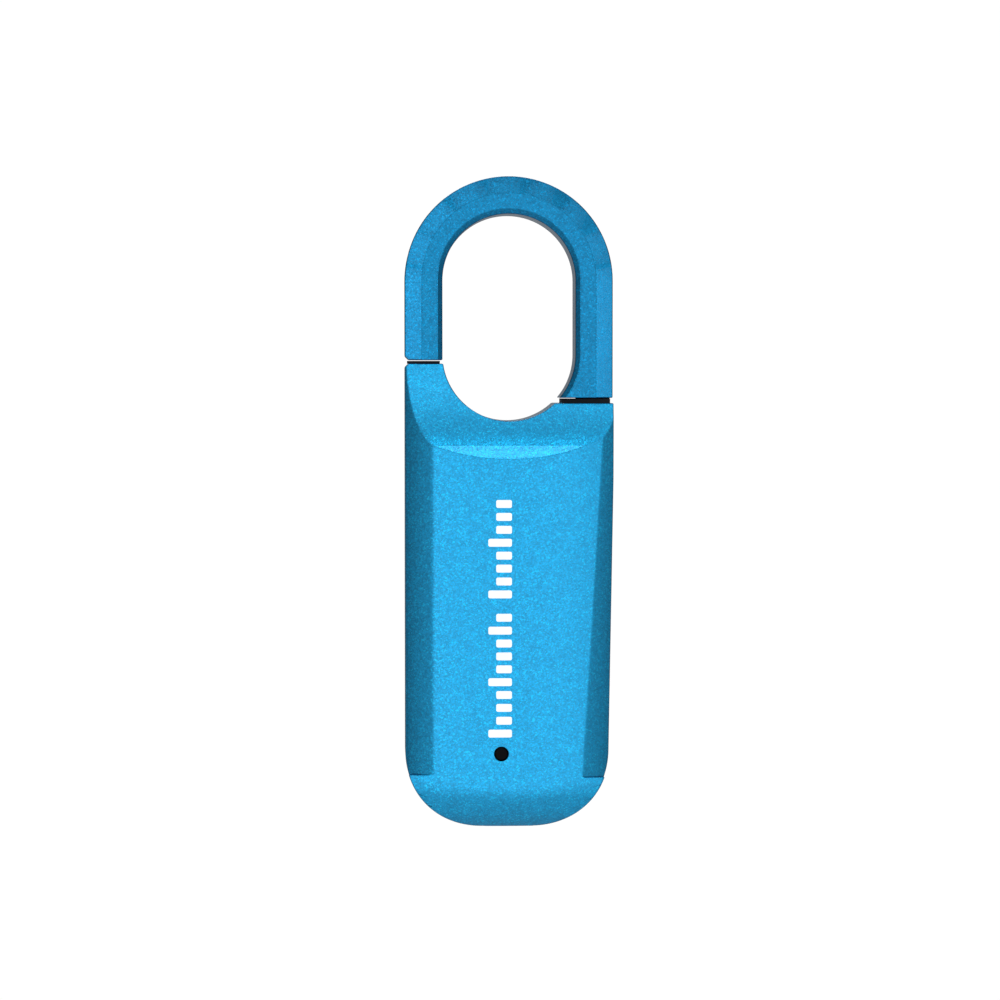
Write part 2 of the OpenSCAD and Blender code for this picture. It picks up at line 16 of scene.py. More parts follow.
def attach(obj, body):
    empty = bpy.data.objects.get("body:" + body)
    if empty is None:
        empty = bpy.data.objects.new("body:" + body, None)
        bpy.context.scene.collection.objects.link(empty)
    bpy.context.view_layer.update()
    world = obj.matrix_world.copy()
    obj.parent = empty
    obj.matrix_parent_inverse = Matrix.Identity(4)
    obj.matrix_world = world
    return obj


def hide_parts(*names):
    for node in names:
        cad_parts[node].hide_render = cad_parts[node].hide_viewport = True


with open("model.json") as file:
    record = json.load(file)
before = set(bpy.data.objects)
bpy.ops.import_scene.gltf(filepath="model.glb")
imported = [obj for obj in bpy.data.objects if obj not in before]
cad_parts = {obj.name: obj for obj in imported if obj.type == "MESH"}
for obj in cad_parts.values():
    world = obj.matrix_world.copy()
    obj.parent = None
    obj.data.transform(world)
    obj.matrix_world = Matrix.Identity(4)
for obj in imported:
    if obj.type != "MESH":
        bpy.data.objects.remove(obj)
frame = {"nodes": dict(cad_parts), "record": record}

logging.basicConfig(level=logging.INFO, format="%(message)s")
log = logging.getLogger("padlock")

MM = 0.001
OUTSIDE = 9.0  # a depth in millimetres that is well outside the body
Point = tuple[float, float, float]
Colour = tuple[float, float, float, float]
Solid = bpy.types.Object
Socket = bpy.types.NodeSocket
Test = Callable[[Vector, Vector], bool]


# ---------- modelling helpers: everything is shaped in millimetres and made metres at the end ----------


class Side(Enum):
    """Which face of the padlock a piece is on."""

    FRONT = -1
    REAR = 1


class Cut(Enum):
    """How one solid works on another."""

    TAKE = "DIFFERENCE"
    ADD = "UNION"
    KEEP = "INTERSECT"


def only(obj: Solid) -> None:
    """Selects one object and makes it the active one."""
    bpy.ops.object.select_all(action="DESELECT")
    obj.select_set(True)
    bpy.context.view_layer.objects.active = obj


@contextmanager
def editing(obj: Solid, mode: str = "FACE") -> Iterator[bmesh.types.BMesh]:
    """Opens an object in edit mode with nothing selected.

    Args:
        obj: The object to edit.
        mode: VERT, EDGE or FACE.
    """
    only(obj)
    bpy.ops.object.mode_set(mode="EDIT")
    bpy.ops.mesh.select_mode(type=mode)
    bpy.ops.mesh.select_all(action="DESELECT")
    try:
        yield bmesh.from_edit_mesh(obj.data)
    finally:
        bpy.ops.object.mode_set(mode="OBJECT")


def pick_faces(obj: Solid, mesh: bmesh.types.BMesh, test: Test) -> None:
    """Selects the faces whose middle and normal pass a test.

    Args:
        obj: The object being edited.
        mesh: Its edit mesh.
        test: Takes a face's middle and its normal.
    """
    for face in mesh.faces:
        face.select_set(test(face.calc_center_median(), face.normal))
    bmesh.update_edit_mesh(obj.data)


def pick_edges(obj: Solid, mesh: bmesh.types.BMesh, test: Test) -> int:
    """Selects the edges whose two ends pass a test.

    Args:
        obj: The object being edited.
        mesh: Its edit mesh.
        test: Takes the two ends of an edge.

    Returns:
        How many edges were selected.
    """
    for edge in mesh.edges:
        edge.select_set(test(edge.verts[0].co, edge.verts[1].co))
    bmesh.update_edit_mesh(obj.data)
    return sum(edge.select for edge in mesh.edges)


def settle(obj: Solid, name: str) -> Solid:
    """Names a piece and puts its place into its mesh.

    Args:
        obj: The piece.
        name: Its name from now on.

    Returns:
        The same piece, at the origin and unturned.
    """
    obj.name = obj.data.name = name
    only(obj)
    bpy.ops.object.transform_apply(location=True, rotation=True, scale=True)
    return obj


def block(name: str, low: Point, high: Point) -> Solid:
    """A box between two corners.

    Args:
        name: The object's name.
        low: Its lowest corner.
        high: Its highest corner.

    Returns:
        The new object.
    """
    middle = [(a + b) / 2 for a, b in zip(low, high)]
    bpy.ops.object.select_all(action="DESELECT")
    bpy.ops.mesh.primitive_cube_add(size=1, location=middle)
    bpy.context.object.scale = [b - a for a, b in zip(low, high)]
    return settle(bpy.context.object, name)


def rod(name: str, axis: str, at: Point, radius: float, low: float, high: float, steps: int = 96,
        end_radius: float | None = None) -> Solid:
    """A cylinder or a cone along one axis.

    Args:
        name: The object's name.
        axis: X, Y or Z.
        at: A point on the axis. Its own coordinate along the axis isn't used.
        radius: The radius at the low end.
        low: Where it starts along the axis.
        high: Where it ends.
        steps: Sides round the circle.
        end_radius: The radius at the high end, where it differs.

    Returns:
        The new object.
    """
    turn = {"X": (0, math.pi / 2, 0), "Y": (-math.pi / 2, 0, 0), "Z": (0, 0, 0)}[axis]
    middle = list(at)
    middle["XYZ".index(axis)] = (low + high) / 2
    bpy.ops.object.select_all(action="DESELECT")
    bpy.ops.mesh.primitive_cone_add(
        vertices=steps, radius1=radius, radius2=radius if end_radius is None else end_radius,
        depth=high - low, location=middle, rotation=turn)
    return settle(bpy.context.object, name)


def combine(target: Solid, tool: Solid, cut: Cut) -> Solid:
    """Works one solid on another, and removes the tool.

    Args:
        target: The solid that stays.
        tool: The solid that it is worked with.
        cut: What the tool does to it.

    Returns:
        The target.
    """
    only(target)
    step = target.modifiers.new("cut", "BOOLEAN")
    step.operation, step.solver, step.object = cut.value, "EXACT", tool
    bpy.ops.object.modifier_apply(modifier=step.name)
    bpy.data.objects.remove(tool)
    return target


def slice_off(obj: Solid, point: Point, outward: Point) -> None:
    """Cuts off what lies beyond a plane, and closes the cut.

    Args:
        obj: The piece.
        point: A point on the plane.
        outward: The way that the cut-off side lies.
    """
    with editing(obj):
        bpy.ops.mesh.select_all(action="SELECT")
        bpy.ops.mesh.bisect(plane_co=point, plane_no=Vector(outward).normalized(), use_fill=True,
                            clear_outer=True, threshold=1e-5)
        bpy.ops.mesh.select_all(action="SELECT")
        bpy.ops.mesh.normals_make_consistent(inside=False)


def round_edges(obj: Solid, test: Test, radius: float, steps: int) -> None:
    """Rounds the edges whose two ends pass a test.

    Args:
        obj: The piece.
        test: Takes the two ends of an edge.
        radius: How round the edges become.
        steps: Faces across each round.
    """
    with editing(obj, "EDGE") as mesh:
        if pick_edges(obj, mesh, test):
            bpy.ops.mesh.bevel(offset=radius, segments=steps, affect="EDGES", clamp_overlap=False)


def tidy_mesh(obj: Solid, flat_degrees: float = 0.05) -> None:
    """Merges doubles, joins coplanar faces and turns every normal outwards.

    Args:
        obj: The piece.
        flat_degrees: The angle below which two faces become one.
    """
    with editing(obj):
        bpy.ops.mesh.select_all(action="SELECT")
        bpy.ops.mesh.remove_doubles(threshold=0.002)
        bpy.ops.mesh.dissolve_limited(angle_limit=math.radians(flat_degrees))
        bpy.ops.mesh.select_all(action="SELECT")
        bpy.ops.mesh.normals_make_consistent(inside=False)


def soften(obj: Solid, width: float, steps: int = 3, least_degrees: float = 9.0) -> None:
    """Gives every crease a small round edge and shades the piece smoothly.

    Args:
        obj: The piece.
        width: How far the round reaches from the crease.
        steps: Faces across each round.
        least_degrees: The smallest bend that counts as a crease.
    """
    only(obj)
    step = obj.modifiers.new("edges", "BEVEL")
    step.width, step.segments = width, steps
    step.limit_method, step.angle_limit = "ANGLE", math.radians(least_degrees)
    step.use_clamp_overlap = False
    step.miter_outer = "MITER_ARC"
    bpy.ops.object.modifier_apply(modifier=step.name)
    shade(obj)


def shade(obj: Solid, sharp_degrees: float = 35.0) -> None:
    """Smooth shading with large faces kept flat.

    Args:
        obj: The piece.
        sharp_degrees: The bend from which an edge stays sharp.
    """
    only(obj)
    bpy.ops.object.shade_smooth_by_angle(angle=math.radians(sharp_degrees))
    step = obj.modifiers.new("normals", "WEIGHTED_NORMAL")
    step.keep_sharp = True
    bpy.ops.object.modifier_apply(modifier=step.name)


def to_metres(obj: Solid) -> Solid:
    """Turns a finished mesh from millimetres into metres, in place."""
    only(obj)
    obj.scale = (MM, MM, MM)
    bpy.ops.object.transform_apply(location=True, rotation=True, scale=True)
    return obj


def finish_piece(obj: Solid, body: str, material: bpy.types.Material,
                 nodes: Sequence[str] = ()) -> Solid:
    """Hands a finished piece over to the frame.

    Args:
        obj: The piece, in millimetres.
        body: The body that it rides on.
        material: Its finish.
        nodes: The CAD nodes that it stands for.

    Returns:
        The piece, in metres.
    """
    to_metres(obj)
    obj.data.materials.clear()
    obj.data.materials.append(material)
    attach(obj, body)
    if nodes:
        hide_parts(*nodes)
    log.info("%s rides on %s", obj.name, body)
    return obj


# ---------- finishes ----------


class Nodes:
    """A node tree, with short calls to add and join nodes."""

    def __init__(self, tree: bpy.types.NodeTree) -> None:
        """Takes up a tree."""
        self.tree = tree

    def add(self, kind: str, **values: object) -> bpy.types.Node:
        """Adds a node.

        Args:
            kind: Its type.
            **values: Its properties.

        Returns:
            The new node.
        """
        node = self.tree.nodes.new(kind)
        for key, value in values.items():
            setattr(node, key, value)
        return node

    def join(self, out: Socket, into: Socket) -> None:
        """Links two sockets."""
        self.tree.links.new(out, into)


class NodeSheet(Nodes):
    """A material's node tree and its Principled surface."""

    def __init__(self, name: str) -> None:
        """Starts a material."""
        self.material = bpy.data.materials.new(name)
        self.material.use_nodes = True
        super().__init__(self.material.node_tree)
        self.surface = self.tree.nodes["Principled BSDF"]
        self.place = self.add("ShaderNodeTexCoord").outputs["Object"]

    def set(self, **values: object) -> None:
        """Sets constants on the surface's own sockets.

        Args:
            **values: A value for each socket's name, with underscores for spaces.
        """
        for key, value in values.items():
            self.surface.inputs[key.replace("_", " ")].default_value = value

    def noise(self, scale: float, detail: float = 3.0, stretch: Point | None = None) -> Socket:
        """Noise on the piece's own coordinates.

        Args:
            scale: Cells per metre.
            detail: How many finer layers it has.
            stretch: Scale along each axis, for brushed or turned lines.

        Returns:
            The noise's value.
        """
        texture = self.add("ShaderNodeTexNoise")
        texture.inputs["Scale"].default_value = scale
        texture.inputs["Detail"].default_value = detail
        source = self.place
        if stretch:
            mapping = self.add("ShaderNodeMapping")
            mapping.inputs["Scale"].default_value = stretch
            self.join(self.place, mapping.inputs["Vector"])
            source = mapping.outputs["Vector"]
        self.join(source, texture.inputs["Vector"])
        return texture.outputs["Fac"]

    def ramp(self, source: Socket, stops: Sequence[tuple[float, Colour]]) -> Socket:
        """Colours along a value.

        Args:
            source: The value.
            stops: Each place along it and the colour there.

        Returns:
            The colour.
        """
        node = self.add("ShaderNodeValToRGB")
        self.join(source, node.inputs["Fac"])
        elements = node.color_ramp.elements
        while len(elements) < len(stops):
            elements.new(0.5)
        for element, (where, colour) in zip(elements, stops):
            element.position, element.color = where, colour
        return node.outputs["Color"]

    def between(self, source: Socket, low: float, high: float) -> Socket:
        """Maps 0 to 1 onto low to high.

        Args:
            source: A value from 0 to 1.
            low: What 0 becomes.
            high: What 1 becomes.

        Returns:
            The mapped value.
        """
        node = self.add("ShaderNodeMapRange")
        node.inputs["To Min"].default_value, node.inputs["To Max"].default_value = low, high
        self.join(source, node.inputs["Value"])
        return node.outputs["Result"]

    def bump(self, height: Socket, strength: float, depth: float) -> None:
        """Raises the surface by a height map.

        Args:
            height: The height, from 0 to 1.
            strength: How much of it shows.
            depth: The full height in metres.
        """
        node = self.add("ShaderNodeBump")
        node.inputs["Strength"].default_value = strength
        node.inputs["Distance"].default_value = depth
        self.join(height, node.inputs["Height"])
        self.join(node.outputs["Normal"], self.surface.inputs["Normal"])


def tint(colour: Sequence[float], factor: float) -> Colour:
    """A colour made lighter or darker, opaque.

    Args:
        colour: Red, green and blue.
        factor: What each is multiplied by.

    Returns:
        The new colour.
    """
    return (*(min(1.0, c * factor) for c in colour[:3]), 1.0)


@dataclass(frozen=True)
class FlakePaint:
    """Metallic lacquer: fine tilted flakes in blue under a satin clear coat."""

    name: str
    colour: tuple[float, float, float]
    flake: float = 0.00015
    sparkle: float = 0.05
    coat: float = 0.45

    def build(self) -> bpy.types.Material:
        """Makes the material."""
        sheet = NodeSheet(self.name)
        cells = sheet.add("ShaderNodeTexVoronoi")
        cells.inputs["Scale"].default_value = 1 / self.flake
        sheet.join(sheet.place, cells.inputs["Vector"])
        grains = sheet.add("ShaderNodeSeparateColor")
        sheet.join(cells.outputs["Color"], grains.inputs["Color"])
        colour = sheet.ramp(grains.outputs["Red"], [
            (0.0, tint(self.colour, 0.76)), (0.45, tint(self.colour, 0.94)),
            (0.85, tint(self.colour, 1.12)), (1.0, tint(self.colour, 1.5))])
        cloud = sheet.ramp(sheet.noise(900, 4), [(0.3, (0.86, 0.88, 0.9, 1)), (0.7, (1, 1, 1, 1))])
        blend = sheet.add("ShaderNodeMix", data_type="RGBA", blend_type="MULTIPLY")
        blend.inputs["Factor"].default_value = 1.0
        sheet.join(colour, blend.inputs["A"])
        sheet.join(cloud, blend.inputs["B"])
        sheet.join(blend.outputs["Result"], sheet.surface.inputs["Base Color"])
        # each flake leans its own way
        centre = sheet.add("ShaderNodeVectorMath", operation="SUBTRACT")
        centre.inputs[1].default_value = (0.5, 0.5, 0.5)
        sheet.join(cells.outputs["Color"], centre.inputs[0])
        lean = sheet.add("ShaderNodeVectorMath", operation="SCALE")
        lean.inputs["Scale"].default_value = self.sparkle
        sheet.join(centre.outputs["Vector"], lean.inputs[0])
        tilted = sheet.add("ShaderNodeVectorMath", operation="ADD")
        sheet.join(sheet.add("ShaderNodeNewGeometry").outputs["Normal"], tilted.inputs[0])
        sheet.join(lean.outputs["Vector"], tilted.inputs[1])
        unit = sheet.add("ShaderNodeVectorMath", operation="NORMALIZE")
        sheet.join(tilted.outputs["Vector"], unit.inputs[0])
        sheet.join(unit.outputs["Vector"], sheet.surface.inputs["Normal"])
        sheet.join(sheet.between(sheet.noise(400, 3), 0.18, 0.24), sheet.surface.inputs["Roughness"])
        sheet.set(Metallic=0.92, Coat_Weight=self.coat, Coat_Roughness=0.05, Coat_IOR=1.45)
        return sheet.material


@dataclass(frozen=True)
class TurnedMetal:
    """Bare metal with fine lines from turning or drawing, and slightly worn roughness."""

    name: str
    colour: tuple[float, float, float]
    rough: float = 0.28
    lines: tuple[float, float, float] = (1.0, 1.0, 40.0)
    groove: float = 0.000004

    def build(self) -> bpy.types.Material:
        """Makes the material."""
        sheet = NodeSheet(self.name)
        streak = sheet.noise(900, 4, self.lines)
        sheet.join(sheet.ramp(streak, [(0.25, tint(self.colour, 0.86)), (0.75, tint(self.colour, 1.08))]),
                   sheet.surface.inputs["Base Color"])
        sheet.join(sheet.between(sheet.noise(1200, 3, self.lines), self.rough - 0.07, self.rough + 0.1),
                   sheet.surface.inputs["Roughness"])
        sheet.set(Metallic=1.0)
        sheet.bump(streak, 0.35, self.groove)
        return sheet.material


@dataclass(frozen=True)
class Moulded:
    """Plastic, rubber, foam or lacquer: a quiet base with a fine moulded grain."""

    name: str
    colour: tuple[float, float, float]
    rough: float = 0.5
    grain: float = 6000.0
    depth: float = 0.000006
    coat: float = 0.0
    glow: float = 0.0
    gloss: float = 0.5

    def build(self) -> bpy.types.Material:
        """Makes the material."""
        sheet = NodeSheet(self.name)
        cloud = sheet.noise(350, 3)
        sheet.join(sheet.ramp(cloud, [(0.3, tint(self.colour, 0.85)), (0.7, tint(self.colour, 1.15))]),
                   sheet.surface.inputs["Base Color"])
        sheet.join(sheet.between(sheet.noise(1500, 3), self.rough - 0.06, self.rough + 0.08),
                   sheet.surface.inputs["Roughness"])
        sheet.set(Coat_Weight=self.coat, Coat_Roughness=0.08, Specular_IOR_Level=self.gloss,
                  Emission_Color=tint(self.colour, 1.0), Emission_Strength=self.glow)
        sheet.bump(sheet.noise(self.grain, 2), 0.3, self.depth)
        return sheet.material


class Finishes:
    """Every finish, made once and kept under its slot's name."""

    RECIPES = {
        "blue_paint": FlakePaint("blue_flake_paint", (0.006, 0.39, 0.76)),
        # the bow wears the same blue lacquer; its darker base colour is painted shade for the darker
        # surroundings its faces reflect
        "bow_paint": FlakePaint("bow_flake_paint_painted_shade", (0.002, 0.23, 0.48), coat=0.25),
        "polished_steel": TurnedMetal("polished_steel", (0.80, 0.81, 0.83), 0.12, groove=0.000001),
        "turned_steel": TurnedMetal("turned_steel", (0.62, 0.63, 0.66), 0.3),
        "spring_steel": TurnedMetal("spring_steel", (0.5, 0.51, 0.54), 0.25),
        "screw_steel": TurnedMetal("blackened_steel", (0.09, 0.09, 0.1), 0.36),
        "brass": TurnedMetal("turned_brass", (0.72, 0.5, 0.2), 0.26),
        "nickel": TurnedMetal("nickel_plate", (0.66, 0.64, 0.6), 0.2),
        "cell_foil": TurnedMetal("cell_foil", (0.6, 0.61, 0.64), 0.34, (6.0, 1.0, 1.0), 0.00001),
        "black_rubber": Moulded("black_silicone", (0.008, 0.009, 0.012), 0.6, gloss=0.25),
        "foam": Moulded("foam_pad", (0.04, 0.04, 0.042), 0.9, 2500.0, 0.00006),
        "nylon": Moulded("natural_nylon", (0.74, 0.72, 0.64), 0.42),
        "black_plastic": Moulded("black_nylon", (0.03, 0.03, 0.033), 0.45),
        "dark_window": Moulded("sensor_glass", (0.006, 0.006, 0.008), 0.14, 3000.0, 0.000001, 0.8),
        "smoked_lens": Moulded("smoked_lens", (0.001, 0.001, 0.0015), 0.3, 3000.0, 0.000001, gloss=0.06),
        "board_green": Moulded("solder_mask", (0.01, 0.12, 0.06), 0.3, 2500.0, 0.000008, 0.4),
        "chip_black": Moulded("chip_epoxy", (0.02, 0.02, 0.021), 0.5),
        "led_white": Moulded("led_lens", (0.82, 0.8, 0.66), 0.3, 3000.0, 0.000002, 0.5),
        "ribbon": Moulded("polyimide_ribbon", (0.55, 0.24, 0.04), 0.28, 2500.0, 0.000004, 0.4),
        "wire_red": Moulded("red_wire", (0.42, 0.012, 0.012), 0.42),
        "wire_black": Moulded("black_wire", (0.02, 0.02, 0.021), 0.42),
        # the print's white is its own colour; its glow is painted light, so the marks shine though they are
        # no lamp
        "print_white": Moulded("white_print_painted_glow", (0.86, 0.9, 0.93), 0.38, 5000.0, 0.000003, glow=0.6),
    }

    def __init__(self) -> None:
        """Builds all the materials."""
        self.made = {key: recipe.build() for key, recipe in self.RECIPES.items()}

    def __getitem__(self, key: str) -> bpy.types.Material:
        """The material of one slot."""
        return self.made[key]

    def dress_frame(self) -> None:
        """Gives every CAD node that stays in view its own slot's finish."""
        for part in frame["record"]["subparts"]:
            node = frame["nodes"][part["node"]]
            node.data.materials.clear()
            node.data.materials.append(self[part["material_slot"]])


# ---------- the body ----------


@dataclass
class Body:
    """The cast housing: crowned faces, leaning bevels, scooped neck and two shoulders."""

    finishes: Finishes
    half_w: float = 12.0
    half_d: float = 5.997
    corner_r: float = 8.7
    side_lean: float = 0.5
    chin_z: float = 5.5
    chin_r: float = 7.0
    panel_r: float = 55.0
    panel_edge: float = 8.8
    bevel_r: float = 8.0
    bevel_low_z: float = 6.2
    bevel_start: float = 20.0
    bevel_lean: float = 2.0
    bevel_shift: float = 0.35
    bevel_pivot_z: float = 23.0
    neck_r: float = 26.0
    neck_z: float = 54.0
    neck_half_d: float = 3.3
    slot_r: float = 7.66
    slot_z: float = 54.5
    toe_z: float = 53.45
    heel_z: float = 48.9
    cavity_half_w: float = 9.4
    cavity_y: tuple[float, float] = (-4.2, 3.5)
    cavity_z: tuple[float, float] = (2.7, 44.6)
    cavity_corner_r: float = 4.0
    opening_half_w: float = 7.6
    opening_z: tuple[float, float] = (5.6, 41.4)
    bolt_bore_r: float = 1.15
    bolt_pocket_z: tuple[float, float] = (31.0, 42.0)
    spindle_bore_r: float = 1.25
    spindle_pocket_z: float = 30.0
    pocket_half_d: float = 1.5
    bush_at: Point = (-5.4, 0.5, 0.0)
    bush_r: float = 1.3

    @property
    def leg_x(self) -> float:
        """Distance from the middle to the centre of each leg."""
        return (self.half_w + self.slot_r) / 2

    def outline(self) -> Solid:
        """The front outline as a slab: leaning side, round corners, shoulders and slot."""
        w, d = self.half_w, self.half_d + 1
        slab = block("housing_shell", (-w, -d, 0), (w, d, self.toe_z))
        slice_off(slab, (w, 0, 40), (31.3, 0, -self.side_lean))
        low = 0.01
        round_edges(slab, lambda a, b: a.z < low and b.z < low and abs(a.x - b.x) < low, self.corner_r, 40)
        combine(slab, block("step", (0, -20, self.heel_z), (20, 20, 80)), Cut.TAKE)
        combine(slab, rod("slot", "Y", (0, 0, self.slot_z), self.slot_r, -20, 20, 192), Cut.TAKE)
        slice_off(slab, (-w, 0, self.toe_z - 0.4), (-1, 0, 1))
        return slab

    def crown(self, side: Side) -> Solid:
        """A thick curved wall whose outer face is one crowned face with its chin.

        Args:
            side: The face that it makes.

        Returns:
            The wall, spun about a far upright axis.
        """
        s = side.value
        bpy.ops.object.select_all(action="DESELECT")
        bpy.ops.mesh.primitive_plane_add(size=1, location=(0, 0, 30), rotation=(0, math.pi / 2, 0))
        wall = settle(bpy.context.object, "crown")
        bottom = self.chin_z - self.chin_r
        with editing(wall, "VERT") as mesh:
            for vert in mesh.verts:
                vert.co.z = 62 if vert.co.z > 30 else bottom
                vert.co.y = s * self.half_d if vert.co.y > 0 else -s * 7
            for vert in mesh.verts:
                vert.select_set(vert.co.z < 0 and vert.co.y * s > 0)
            bmesh.update_edit_mesh(wall.data)
            bpy.ops.mesh.bevel(offset=self.chin_r, segments=40, affect="VERTICES", clamp_overlap=False)
        centre = (0, s * (self.half_d - self.panel_r), 0)
        swing = math.radians(20)
        with editing(wall):
            bpy.ops.mesh.select_all(action="SELECT")
            bpy.ops.mesh.bisect(plane_co=(0, 0, 0), plane_no=(0, 0, -1), clear_outer=True)
        turn_about(wall, centre, "Z", -swing)
        with editing(wall):
            bpy.ops.mesh.select_all(action="SELECT")
            bpy.ops.mesh.spin(steps=40, angle=-2 * swing, center=centre, axis=(0, 0, 1))
        close_ends(wall)
        return wall

    def bevel_cut(self, x_side: int, side: Side) -> Solid:
        """What one side bevel takes away: a block with a round face, above the chin.

        Args:
            x_side: -1 for the left side and 1 for the right one, which leans.
            side: The face that the bevel is on.

        Returns:
            The solid to take away.
        """
        s = side.value
        edge_y = self.half_d - self.panel_r + math.sqrt(self.panel_r ** 2 - self.panel_edge ** 2)
        start = math.radians(self.bevel_start)
        centre_x = -(self.panel_edge - self.bevel_r * math.sin(start))
        centre_y = s * (edge_y - self.bevel_r * math.cos(start))
        tool = block("bevel", (-self.half_w - 3, min(centre_y, s * 14), self.bevel_low_z),
                     (0.6 - self.panel_edge, max(centre_y, s * 14), 70))
        combine(tool, rod("round", "Z", (centre_x, centre_y, 0), self.bevel_r, -5, 80, 96), Cut.TAKE)
        if x_side > 0:
            with editing(tool):
                bpy.ops.mesh.select_all(action="SELECT")
                bpy.ops.transform.mirror(orient_type="GLOBAL", constraint_axis=(True, False, False),
                                         center_override=(0, 0, 0))
                bpy.ops.mesh.normals_make_consistent(inside=False)
            turn_about(tool, (0, 0, self.bevel_pivot_z), "Y", math.radians(self.bevel_lean))
            tool.location.x = self.bevel_shift
            settle(tool, tool.name)
        return tool

    def blank(self) -> Solid:
        """The outer form before it is hollowed."""
        blank = self.outline()
        for side in Side:
            combine(blank, self.crown(side), Cut.KEEP)
        for side in Side:
            y = side.value * (self.neck_half_d + self.neck_r)
            combine(blank, rod("scoop", "X", (0, y, self.neck_z), self.neck_r, -20, 20, 240), Cut.TAKE)
            for x_side in (-1, 1):
                combine(blank, self.bevel_cut(x_side, side), Cut.TAKE)
        return blank

    def hollow(self, shell: Solid) -> None:
        """Cuts the cavity, the cover's recess, the bores and the charging port.

        The status light's hole is cut last of all, by build(), so that the panel round it stays smooth.

        Args:
            shell: The outer form.
        """
        (front, rear), (base, roof) = self.cavity_y, self.cavity_z
        leg, side, deep = self.leg_x, self.cavity_half_w, self.pocket_half_d
        pocket_low, pocket_high = self.bolt_pocket_z
        cavity = block("cavity", (-side, front, base), (side, rear, roof))
        round_edges(cavity, lambda a, b: max(a.z, b.z) < base + 0.1 and abs(a.x - b.x) < 0.1,
                    self.cavity_corner_r, 12)
        cuts = [
            cavity,
            block("opening", (-self.opening_half_w, rear - 0.5, self.opening_z[0]),
                  (self.opening_half_w, OUTSIDE, self.opening_z[1])),
            RearCover.plate("recess", 0.0, RearCover.ledge_y, OUTSIDE),
            rod("bolt_bore", "Z", (-leg, 0, 0), self.bolt_bore_r, 40, 60),
            block("bolt_pocket", (-leg - 1.25, -deep, pocket_low), (-side + 0.1, deep, pocket_high)),
            rod("spindle_bore", "Z", (leg, 0, 0), self.spindle_bore_r, 42, 60),
            block("spindle_pocket", (side - 0.1, -deep, self.spindle_pocket_z), (leg + 1.4, deep, roof)),
            rod("bush_hole", "Z", self.bush_at, self.bush_r, roof - 0.1, roof + 0.8),
            PortPlug.recess(),
            stadium("port_hole", PortPlug.port_half_w, PortPlug.port_half_d, PortPlug.y, -1, base + 0.1),
        ]
        for tool in cuts:
            combine(shell, tool, Cut.TAKE)

    def build(self) -> None:
        """Makes the housing."""
        shell = self.blank()
        tidy_mesh(shell)
        self.hollow(shell)
        tidy_mesh(shell)
        soften(shell, 0.13)
        combine(shell, rod("light_hole", "Y", (Front.light_x, 0, Front.light_z), Front.light_r + 0.01,
                           -OUTSIDE, self.cavity_y[0] + 0.1, 64), Cut.TAKE)
        shade(shell)
        finish_piece(shell, "body", self.finishes["blue_paint"], ["housing"])


def turn_about(obj: Solid, point: Point, axis: str, angle: float) -> None:
    """Turns a piece about an axis through a point, and keeps the turn in its mesh.

    Args:
        obj: The piece.
        point: Any point on the axis.
        axis: X, Y or Z.
        angle: How far, in radians.
    """
    there = Matrix.Translation(point)
    obj.matrix_world = there @ Matrix.Rotation(angle, 4, axis) @ there.inverted()
    settle(obj, obj.name)


def close_ends(obj: Solid) -> None:
    """Fills open ends and turns the normals outwards."""
    with editing(obj, "EDGE"):
        bpy.ops.mesh.select_non_manifold()
        bpy.ops.mesh.edge_face_add()
        bpy.ops.mesh.select_all(action="SELECT")
        bpy.ops.mesh.normals_make_consistent(inside=False)


def stadium(name: str, half_w: float, half_d: float, y: float, low: float, high: float) -> Solid:
    """An upright bar with round ends.

    Args:
        name: The object's name.
        half_w: Half its width along X.
        half_d: Half its depth, which is also the radius of its ends.
        y: The depth of its middle.
        low: Its lower end.
        high: Its upper end.

    Returns:
        The new object.
    """
    bar = block(name, (-half_w, y - half_d, low), (half_w, y + half_d, high))
    round_edges(bar, lambda a, b: abs(a.z - b.z) > (high - low) / 2, half_d * 0.999, 16)
    return bar


# ---------- the rear ----------


